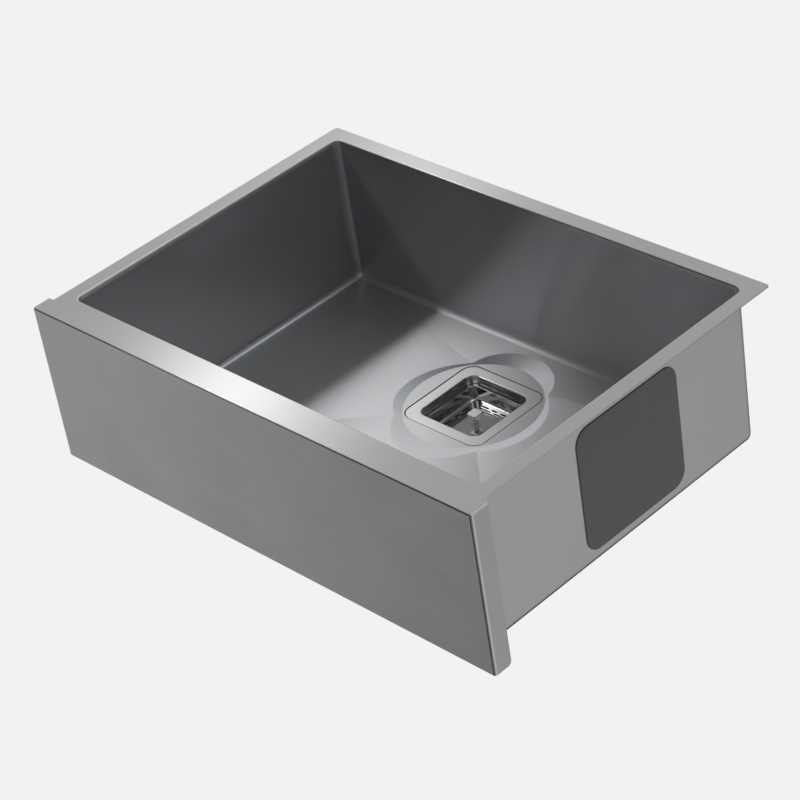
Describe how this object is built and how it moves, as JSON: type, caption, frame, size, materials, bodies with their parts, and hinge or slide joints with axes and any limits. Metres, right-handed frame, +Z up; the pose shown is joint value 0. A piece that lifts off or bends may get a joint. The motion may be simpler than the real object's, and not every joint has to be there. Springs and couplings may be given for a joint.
{
  "type": "farmhouse apron front sink",
  "caption": "Apron-front farmhouse kitchen sink: a folded steel bowl with a flat rim, a deep front apron, a creased floor and a square lift-out basket strainer with a push stopper.",
  "frame": {"origin": "middle of the top face of the deck strip between the apron and the bowl", "axes": "+Z up, +X to the right seen from the front, +Y from the apron to the rear rim"},
  "size_m": [0.762, 0.5336, 0.3216],
  "materials": {
    "sink_steel": "brushed",
    "brace_steel": "mill",
    "strainer_steel": "satin",
    "basket_steel": "polished",
    "screw_steel": "polished",
    "pad_rubber": "matte",
    "gasket_rubber": "matte",
    "cup_plastic": "moulded",
    "bush_plastic": "moulded",
    "insert_brass": "plain"
  },
  "bodies": {
    "sink": {"sink_bowl": "sink_steel", "deck_apron": "sink_steel", "apron_braces": "brace_steel", "sound_pad_right": "pad_rubber", "sound_pad_left": "pad_rubber", "sound_pad_rear": "pad_rubber", "sound_pad_front": "pad_rubber", "sound_pads_floor": "pad_rubber", "sound_pad_floor_front": "pad_rubber", "strainer_body": "strainer_steel", "flange_gasket": "gasket_rubber", "cup_gasket": "gasket_rubber", "outlet_cup": "cup_plastic", "threaded_insert": "insert_brass", "centre_screw": "screw_steel"},
    "basket": {"strainer_basket": "basket_steel", "guide_bush": "bush_plastic"},
    "stopper": {"pull_knob": "basket_steel", "stopper_stem": "screw_steel", "stopper_backing": "basket_steel", "stopper_seal": "gasket_rubber", "stopper_retainer": "screw_steel"}
  },
  "joints": [
    {"name": "basket_lift", "type": "slide", "parent": "sink", "child": "basket", "axis": [0, 0, 1], "range_m": [0, 0.3]},
    {"name": "stopper_push", "type": "slide", "parent": "basket", "child": "stopper", "axis": [0, 0, -1], "range_m": [0, 0.008]}
  ]
}
